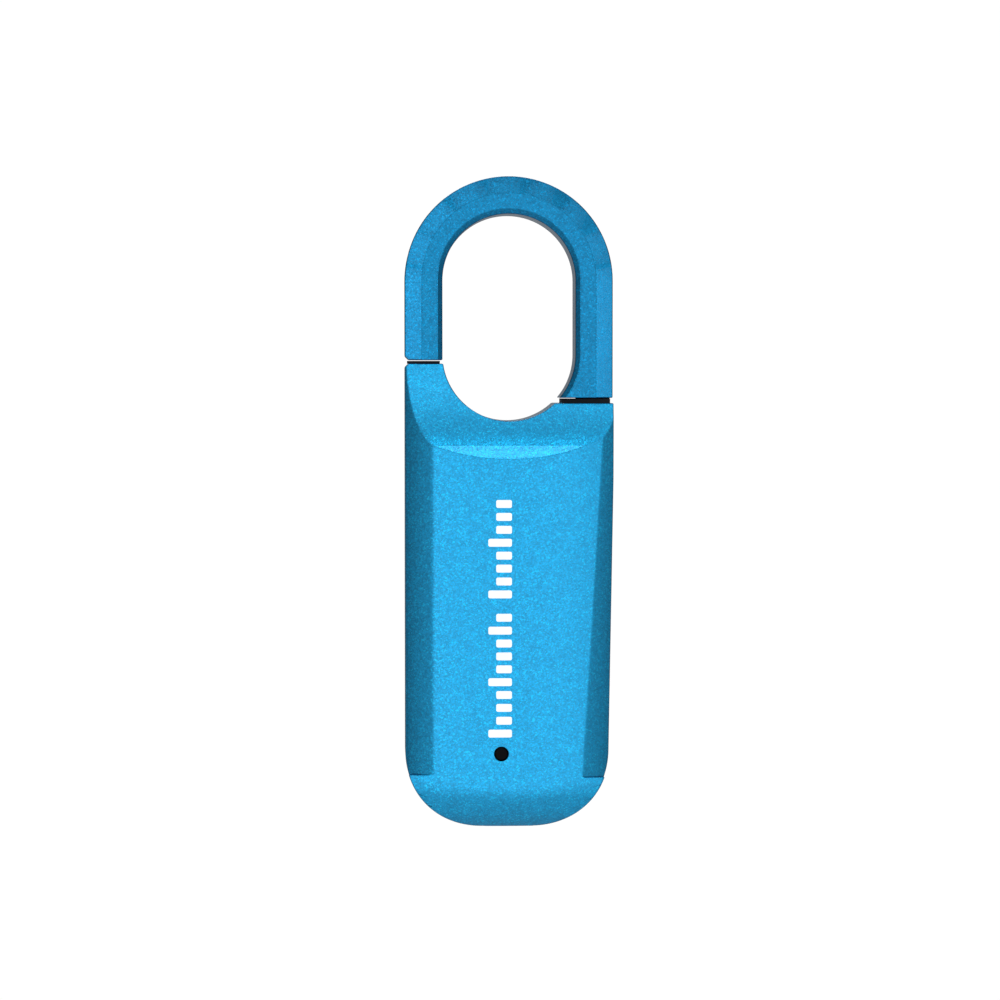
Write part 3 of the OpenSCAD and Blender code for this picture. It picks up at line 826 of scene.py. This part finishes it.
@dataclass
class RearCover:
    """The crowned lid over the rear opening, with the reader's bezel and window and four screws."""

    finishes: Finishes
    half_w: float = 8.8
    low_z: float = 4.4
    top_z: float = 42.6
    corner_r: float = 1.8
    gap: float = 0.12
    ledge_y: float = 4.3
    seat_y: float = 4.6
    screw_x: float = 7.1
    screw_z: tuple[float, float] = (6.4, 40.6)
    screw_seat_y: float = 4.95
    head_r: float = 1.1
    head_h: float = 0.35
    shank_r: float = 0.6
    reader_z: float = 21.0
    reader_r: float = 5.5
    reader_y: float = 4.7
    bezel_w: float = 0.8

    @classmethod
    def plate(cls, name: str, gap: float, low: float, high: float) -> Solid:
        """The cover's outline as a plate between two depths.

        Args:
            name: The object's name.
            gap: How far it stays inside the recess.
            low: The depth of its inner face.
            high: The depth of its outer face.

        Returns:
            The new object.
        """
        plate = block(name, (-cls.half_w + gap, low, cls.low_z + gap),
                      (cls.half_w - gap, high, cls.top_z - gap))
        round_edges(plate, lambda a, b: abs(a.y - b.y) > 0.1, cls.corner_r - gap, 10)
        return plate

    def spots(self) -> list[tuple[float, float]]:
        """Where the four screws are."""
        return [(x, z) for x in (-self.screw_x, self.screw_x) for z in self.screw_z]

    def lid(self) -> None:
        """The lid itself."""
        lid = self.plate("rear_lid", self.gap, self.seat_y, 7.0)
        combine(lid, Body(self.finishes).crown(Side.REAR), Cut.KEEP)
        combine(lid, rod("reader_hole", "Y", (0, 0, self.reader_z), self.reader_r, 3, OUTSIDE, 128), Cut.TAKE)
        for x, z in self.spots():
            combine(lid, rod("shank", "Y", (x, 0, z), self.shank_r + 0.1, 3, OUTSIDE, 32), Cut.TAKE)
            combine(lid, rod("head", "Y", (x, 0, z), self.head_r + 0.1, self.screw_seat_y, OUTSIDE, 48),
                    Cut.TAKE)
        tidy_mesh(lid)
        soften(lid, 0.1)
        finish_piece(lid, "body", self.finishes["blue_paint"], ["rear_cover"])

    def reader(self) -> None:
        """The polished bezel and the dark window of the fingerprint reader."""
        r, z, low = self.reader_r, self.reader_z, self.reader_y
        inner = r - self.bezel_w
        ring = rod("reader_bezel", "Y", (0, 0, z), r - 0.03, low, 6.0, 128)
        combine(ring, rod("bore", "Y", (0, 0, z), inner, 4, 7, 128), Cut.TAKE)
        combine(ring, rod("cone", "Y", (0, 0, z), inner, 5.5, 6.05, 128, r - 0.25), Cut.TAKE)
        soften(ring, 0.06)
        finish_piece(ring, "body", self.finishes["polished_steel"], ["sensor_ring"])
        window_r, dish = inner - 0.02, 0.16
        window = rod("reader_window", "Y", (0, 0, z), window_r, low, 5.55, 128)
        with editing(window) as mesh:
            pick_faces(window, mesh, lambda middle, normal: normal.y > 0.9)
            for step in range(6):
                bpy.ops.mesh.inset(thickness=0.62)
            bpy.ops.mesh.select_all(action="DESELECT")
            for vert in mesh.verts:
                out = math.hypot(vert.co.x, vert.co.z - z)
                if vert.co.y > 5.5:
                    vert.co.y -= dish * (1 - (out / window_r) ** 2)
        soften(window, 0.05)
        finish_piece(window, "body", self.finishes["dark_window"], ["sensor_window"])

    def screws(self) -> None:
        """Four button heads with a six-lobed socket and a pin, modelled once and copied."""
        seat, top = self.screw_seat_y, self.screw_seat_y + self.head_h
        socket_r, socket_floor = 0.42, seat + 0.1
        first = rod("cover_screw", "Y", (0, 0, 0), self.head_r, seat, top, 48)
        combine(first, rod("shank", "Y", (0, 0, 0), self.shank_r, seat - 2.1, seat + 0.05, 32), Cut.ADD)
        round_edges(first, lambda a, b: min(a.y, b.y) > top - 0.01, 0.16, 4)
        for lobe in range(6):
            angle = math.radians(60 * lobe)
            at = (socket_r * math.cos(angle), 0, socket_r * math.sin(angle))
            combine(first, rod("lobe", "Y", at, 0.17, socket_floor, 6, 16), Cut.TAKE)
        combine(first, rod("socket", "Y", (0, 0, 0), socket_r, socket_floor, 6, 32), Cut.TAKE)
        combine(first, rod("pin", "Y", (0, 0, 0), 0.14, seat + 0.05, top - 0.1, 16), Cut.ADD)
        shade(first)
        for number, (x, z) in enumerate(self.spots()):
            screw = first.copy()
            screw.data = first.data.copy()
            bpy.context.scene.collection.objects.link(screw)
            screw.name = screw.data.name = f"cover_screw_{number + 1}"
            screw.location = (x, 0, z)
            settle(screw, screw.name)
            finish_piece(screw, "body", self.finishes["screw_steel"], ["cover_screws"])
        bpy.data.objects.remove(first)

    def build(self) -> None:
        """Makes everything on the rear."""
        self.lid()
        self.reader()
        self.screws()


# ---------- the bow ----------


@dataclass
class Bow:
    """The flat bow: one bar spun over the top, a short toe and a heel that flares along the slot."""

    finishes: Finishes
    inner: float = 7.66
    outer: float = 12.0
    half_d: float = 3.3
    outer_bevel: float = 2.0
    outer_drop: float = 0.95
    inner_bevel: float = 0.6
    inner_drop: float = 0.5
    crown_z: float = 63.0
    toe_z: float = 53.86
    heel_z: float = 49.5
    slot_z: float = 54.5
    foot_w: float = 0.75
    toe_bore_r: float = 1.5
    toe_bore_top_z: float = 58.4
    heel_bore_r: float = 1.25
    heel_bore_top_z: float = 55.45
    pin_r: float = 0.4
    pin_z: float = 52.45
    pin_low_y: float = -1.8
    pin_inset: float = 1.2

    def leg(self) -> Solid:
        """The right leg, a straight bar with its four bevels."""
        leg = block("bow_bar", (self.inner, -self.half_d, self.heel_z),
                    (self.outer, self.half_d, self.crown_z))
        for side in Side:
            y = side.value
            slice_off(leg, (self.outer - self.outer_bevel, y * self.half_d, 0),
                      (self.outer_drop, y * self.outer_bevel, 0))
            slice_off(leg, (self.inner + self.inner_bevel, y * self.half_d, 0),
                      (-self.inner_drop, y * self.inner_bevel, 0))
        return leg

    def bar(self) -> Solid:
        """Both legs and the arch, spun from the right leg's top."""
        bar = self.leg()
        with editing(bar) as mesh:
            pick_faces(bar, mesh, lambda middle, normal: normal.z > 0.9)
            bpy.ops.mesh.spin(steps=96, angle=math.pi, center=(0, 0, self.crown_z), axis=(0, 1, 0))
            down = (0, 0, self.toe_z - self.crown_z)
            bpy.ops.mesh.extrude_region_move(TRANSFORM_OT_translate={"value": down})
            bpy.ops.mesh.select_all(action="SELECT")
            bpy.ops.mesh.remove_doubles(threshold=0.0005)
            bpy.ops.mesh.normals_make_consistent(inside=False)
        return bar

    def heel(self) -> Solid:
        """The heel's flare along the lower arc of the slot."""
        foot = block("foot", (2, -self.half_d, self.heel_z),
                     (self.inner + self.foot_w, self.half_d, self.slot_z))
        combine(foot, rod("arc", "Y", (0, 0, self.slot_z), self.inner, -OUTSIDE, OUTSIDE, 192), Cut.TAKE)
        wide = self.inner + self.inner_bevel
        combine(foot, rod("front_cone", "Y", (0, 0, self.slot_z), wide, -self.half_d - 0.001,
                          -self.half_d + self.inner_drop, 192, self.inner), Cut.TAKE)
        combine(foot, rod("rear_cone", "Y", (0, 0, self.slot_z), self.inner, self.half_d - self.inner_drop,
                          self.half_d + 0.001, 192, wide), Cut.TAKE)
        return foot

    def build(self) -> Solid:
        """Makes the bow with its toe and heel bores, and returns it."""
        bow = self.bar()
        combine(bow, self.heel(), Cut.ADD)
        middle = (self.inner + self.outer) / 2
        combine(bow, rod("toe_bore", "Z", (-middle, 0, 0), self.toe_bore_r, 50, self.toe_bore_top_z, 64),
                Cut.TAKE)
        combine(bow, rod("heel_bore", "Z", (middle, 0, 0), self.heel_bore_r, 45, self.heel_bore_top_z, 64),
                Cut.TAKE)
        slice_off(bow, (-self.outer, 0, self.toe_z + 0.42), (-1, 0, -1))
        tidy_mesh(bow)
        soften(bow, 0.12)
        pin_at = (middle - self.pin_inset, 0, self.pin_z)
        combine(bow, rod("pin_hole", "Y", pin_at, self.pin_r, self.pin_low_y, OUTSIDE, 32), Cut.TAKE)
        shade(bow)
        # the bow's finish is the blue lacquer darkened as painted shade
        return finish_piece(bow, "bow", self.finishes["bow_paint"], ["shackle_bow"])


# ---------- front details ----------


@dataclass
class Front:
    """The status light and the printed marks."""

    finishes: Finishes
    light_x: float = -1.0
    light_z: float = 8.7
    light_r: float = 0.85
    lens_y: tuple[float, float] = (-5.95, -3.9)
    mark_low_x: float = -2.5
    mark_high_x: float = 0.2
    mark_short_x: float = -1.6
    mark_height: float = 0.9
    mark_pitch: float = 1.48
    mark_groups: tuple[tuple[float, int], ...] = ((10.6, 10), (26.6, 8))
    long_every: int = 4
    panel_r: float = 55.0
    half_d: float = 5.999
    film: float = 0.03

    def light(self) -> None:
        """The dark round lens, set just inside the panel with its rim rounded."""
        face, inner = self.lens_y
        lens = rod("light_lens", "Y", (self.light_x, 0, self.light_z), self.light_r - 0.04, face, inner, 64)
        round_edges(lens, lambda a, b: max(a.y, b.y) < face + 0.01, 0.22, 5)
        shade(lens)
        finish_piece(lens, "body", self.finishes["smoked_lens"], ["light_pipe"])

    def marks(self) -> None:
        """Two groups of graduated bars, printed along the panel."""
        bars = []
        for start, count in self.mark_groups:
            for number in range(count):
                z = start + number * self.mark_pitch
                left = self.mark_low_x if number % self.long_every == 0 else self.mark_short_x
                bars.append((left, z, self.mark_high_x, z + self.mark_height))
        joined = None
        for left, low, right, high in bars:
            bar = block("printed_marks", (left, -7, low), (right, -5, high))
            round_edges(bar, lambda a, b: abs(a.y - b.y) > 1, 0.2, 4)
            if joined:
                bar.select_set(True)
                joined.select_set(True)
                bpy.context.view_layer.objects.active = joined
                bpy.ops.object.join()
            else:
                joined = bar
        axis = (0, self.panel_r - self.half_d, 0)
        combine(joined, rod("film", "Z", axis, self.panel_r, 5, 45, 2048), Cut.KEEP)
        combine(joined, rod("under", "Z", axis, self.panel_r - self.film, 0, 60, 2048), Cut.TAKE)
        shade(joined)
        # the print's finish glows: painted light on top of the printed white
        finish_piece(joined, "body", self.finishes["print_white"])

    def build(self) -> None:
        """Makes the front's details."""
        self.light()
        self.marks()


# ---------- the base ----------


@dataclass
class PortPlug:
    """The soft plug under the base: a lid with grip ribs, a rolled hinge and a boss in the socket."""

    finishes: Finishes
    y: float = -0.92
    half_d: float = 1.95
    hinge_x: float = -5.7
    hinge_z: float = 0.62
    hinge_r: float = 0.45
    end_x: float = 5.6
    low_z: float = 0.2
    high_z: float = 0.95
    boss_half_w: float = 3.9
    boss_half_d: float = 1.1
    port_half_w: float = 4.55
    port_half_d: float = 1.71
    inside: float = 0.1

    @classmethod
    def recess(cls) -> Solid:
        """What the housing leaves free for the plug's lid and hinge."""
        return block("plug_recess", (cls.hinge_x - 0.75, cls.y - cls.half_d - 0.1, -1),
                     (cls.end_x + 0.12, cls.y + cls.half_d + 0.1, cls.high_z + 0.15))

    def build(self) -> None:
        """Makes the plug."""
        y, d = self.y, self.half_d
        lid = block("plug_lid", (self.hinge_x, y - d, self.low_z), (self.end_x, y + d, self.high_z))
        round_edges(lid, lambda a, b: abs(a.z - b.z) > 0.5 and a.x > 5, 0.7, 6)
        hinge_at = (self.hinge_x, 0, self.hinge_z)
        combine(lid, rod("roll", "Y", hinge_at, self.hinge_r, y - d, y + d, 32), Cut.ADD)
        combine(lid, stadium("boss", self.boss_half_w, self.boss_half_d, y, self.high_z - 0.05, 1.95),
                Cut.ADD)
        combine(lid, block("hinge_groove", (-5.0, y - 9, 0), (-4.7, y + 9, 0.45)), Cut.TAKE)
        for rib in range(3):
            x = 3.4 + rib * 0.6
            combine(lid, block("grip", (x, y - 1.2, 0), (x + 0.28, y + 1.2, 0.36)), Cut.TAKE)
        # its ends follow the body's round corners, a little inside them
        outside = Body(self.finishes).outline()
        outside.location.z = self.inside
        combine(lid, settle(outside, "outside"), Cut.KEEP)
        tidy_mesh(lid)
        soften(lid, 0.06, 2, 25)
        finish_piece(lid, "plug", self.finishes["black_rubber"], ["port_plug"])


# ---------- light and camera ----------


def way_to(azimuth: float, elevation: float) -> Vector:
    """The way from the padlock towards a camera or a light.

    Args:
        azimuth: Degrees round from the front, towards the right.
        elevation: Degrees up.

    Returns:
        A unit vector.
    """
    az, el = math.radians(azimuth), math.radians(elevation)
    return Vector((math.sin(az) * math.cos(el), -math.cos(az) * math.cos(el), math.sin(el)))


@dataclass
class Studio:
    """A pale floor, a white surround, soft lights above and round the bow, and a long lens."""

    azimuth: float = -2.4
    elevation: float = 2.4
    lens: float = 110.0
    frame_width: float = 0.1163
    shift: tuple[float, float] = (-0.008, 0.001)
    aim: Point = (0.0, 0.0, 0.0375)
    white: float = 1.02
    sky_levels: tuple[tuple[float, float], ...] = (
        (0.0, 0.9), (0.02, 1.0), (0.06, 0.72), (0.13, 0.42), (0.32, 0.3),
        (0.5, 0.2), (0.75, 0.08), (0.92, 0.08), (0.97, 0.16), (1.0, 0.2))
    sky_gain: float = 1.3
    ground_level: float = 0.3
    bow_aim: Point = (0.0, 0.0, 0.063)
    bow_ring: tuple[float, ...] = (1.5, 1.1, 0.85, 0.75, 0.75, 0.9, 1.1, 1.2, 1.35)
    bow_ring_ahead: float = 0.63
    bow_light_distance: float = 0.3
    bow_light_size: float = 0.08
    bow_light_power: float = 0.02
    overhead: Solid | None = None

    def camera(self) -> None:
        """Sets the camera down in front of the padlock."""
        data = bpy.data.cameras.new("camera")
        data.lens, data.sensor_width = self.lens, 36.0
        data.clip_start, data.clip_end = 0.01, 20.0
        distance = self.frame_width * self.lens / data.sensor_width
        way = way_to(self.azimuth, self.elevation)
        camera = bpy.data.objects.new("camera", data)
        camera.location = Vector(self.aim) + way * distance
        camera.rotation_euler = (-way).to_track_quat("-Z", "Y").to_euler()
        data.shift_x, data.shift_y = self.shift
        bpy.context.scene.collection.objects.link(camera)
        bpy.context.scene.camera = camera

    def floor(self) -> None:
        """A wide pale floor."""
        bpy.ops.object.select_all(action="DESELECT")
        bpy.ops.mesh.primitive_plane_add(size=8, location=(0, 0, -0.00002))
        floor = settle(bpy.context.object, "floor")
        sheet = NodeSheet("floor_white")
        sheet.set(Base_Color=(0.6, 0.6, 0.6, 1), Roughness=0.95)
        glow = sheet.add("ShaderNodeEmission")
        glow.inputs["Strength"].default_value = self.white
        mix = sheet.add("ShaderNodeMixShader")
        sheet.join(sheet.add("ShaderNodeLightPath").outputs["Is Camera Ray"], mix.inputs["Fac"])
        sheet.join(sheet.surface.outputs[0], mix.inputs[1])
        sheet.join(glow.outputs[0], mix.inputs[2])
        sheet.join(mix.outputs[0], sheet.tree.nodes["Material Output"].inputs["Surface"])
        floor.data.materials.append(sheet.material)
        floor.visible_glossy = False

    def sky(self) -> None:
        """A surround that looks white, and lights brightly from the front and dimly from elsewhere."""
        world = bpy.data.worlds.new("studio")
        bpy.context.scene.world = world
        world.use_nodes = True
        sheet = Nodes(world.node_tree)
        back = sheet.tree.nodes["Background"]
        place = sheet.add("ShaderNodeTexCoord")
        parts = sheet.add("ShaderNodeSeparateXYZ")
        sheet.join(place.outputs["Generated"], parts.inputs[0])
        ahead = sheet.add("ShaderNodeMapRange")
        ahead.inputs["From Min"].default_value = -1.0
        sheet.join(parts.outputs["Y"], ahead.inputs["Value"])
        ramp = sheet.add("ShaderNodeValToRGB")
        elements = ramp.color_ramp.elements
        while len(elements) < len(self.sky_levels):
            elements.new(0.5)
        for element, (where, level) in zip(elements, self.sky_levels):
            element.position, element.color = where, (level, level, level, 1)
        sheet.join(ahead.outputs[0], ramp.inputs["Fac"])
        below = sheet.add("ShaderNodeMapRange")
        below.inputs["From Min"].default_value, below.inputs["From Max"].default_value = 0.0, -1.0
        below.inputs["To Max"].default_value = self.ground_level
        sheet.join(parts.outputs["Z"], below.inputs["Value"])
        total = sheet.add("ShaderNodeMath", operation="MULTIPLY_ADD")
        total.inputs[1].default_value = self.sky_gain
        sheet.join(ramp.outputs["Color"], total.inputs[0])
        sheet.join(below.outputs["Result"], total.inputs[2])
        sheet.join(total.outputs[0], back.inputs["Strength"])
        back.inputs["Color"].default_value = (1, 1, 1, 1)
        seen = sheet.add("ShaderNodeLightPath")
        white = sheet.add("ShaderNodeBackground")
        white.inputs["Color"].default_value = (1, 1, 1, 1)
        white.inputs["Strength"].default_value = self.white
        mix = sheet.add("ShaderNodeMixShader")
        sheet.join(seen.outputs["Is Camera Ray"], mix.inputs["Fac"])
        sheet.join(back.outputs[0], mix.inputs[1])
        sheet.join(white.outputs[0], mix.inputs[2])
        sheet.join(mix.outputs[0], sheet.tree.nodes["World Output"].inputs["Surface"])

    def lamp(self, name: str, azimuth: float, elevation: float, distance: float, size: tuple[float, float],
             power: float, aim: Point | None = None) -> Solid:
        """One soft rectangular light.

        Args:
            name: The light's name.
            azimuth: Degrees round from the front, towards the right.
            elevation: Degrees up.
            distance: How far it is from what it lights.
            size: Its width and height.
            power: Its power in watts.
            aim: What it lights, where that isn't the middle of the padlock.

        Returns:
            The light.
        """
        data = bpy.data.lights.new(name, "AREA")
        data.shape, data.size, data.size_y, data.energy = "RECTANGLE", *size, power
        way = way_to(azimuth, elevation)
        lamp = bpy.data.objects.new(name, data)
        lamp.location = Vector(aim or self.aim) + way * distance
        lamp.rotation_euler = way.to_track_quat("Z", "Y").to_euler()
        bpy.context.scene.collection.objects.link(lamp)
        return lamp

    def ring(self, bow: Solid) -> None:
        """An arc of soft lights for the bow's bevels alone, which the light overhead then leaves out.

        Args:
            bow: The piece that they light.
        """
        lit = bpy.data.collections.new("lit_by_ring")
        lit.objects.link(bow)
        unlit = bpy.data.collections.new("not_lit_overhead")
        unlit.objects.link(bow)
        self.overhead.light_linking.receiver_collection = unlit
        unlit.collection_objects[0].light_linking.link_state = "EXCLUDE"
        out = math.sqrt(1 - self.bow_ring_ahead ** 2)
        for number, level in enumerate(self.bow_ring):
            turn = math.pi * number / (len(self.bow_ring) - 1)
            across, up = out * math.cos(turn), out * math.sin(turn)
            azimuth = math.degrees(math.atan2(across, self.bow_ring_ahead))
            lamp = self.lamp(f"bow_light_{number}", azimuth, elevation=math.degrees(math.asin(up)),
                             distance=self.bow_light_distance, size=(self.bow_light_size,) * 2,
                             power=self.bow_light_power * level, aim=self.bow_aim)
            lamp.light_linking.receiver_collection = lit

    def build(self) -> None:
        """Sets up the whole studio."""
        scene = bpy.context.scene
        scene.view_settings.view_transform = "Standard"
        self.camera()
        self.floor()
        self.sky()
        self.overhead = self.lamp("overhead", azimuth=0, elevation=47.5, distance=0.9, size=(1.0, 0.11),
                                  power=0.85)
        self.lamp("overhead_rear", azimuth=180, elevation=52, distance=0.9, size=(1.0, 0.24), power=2.3)


def main() -> None:
    """Builds every assembly in order."""
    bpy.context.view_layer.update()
    studio = Studio()
    studio.build()
    finishes = Finishes()
    finishes.dress_frame()
    Body(finishes).build()
    RearCover(finishes).build()
    studio.ring(Bow(finishes).build())
    Front(finishes).build()
    PortPlug(finishes).build()


if __name__ == "__main__":
    main()
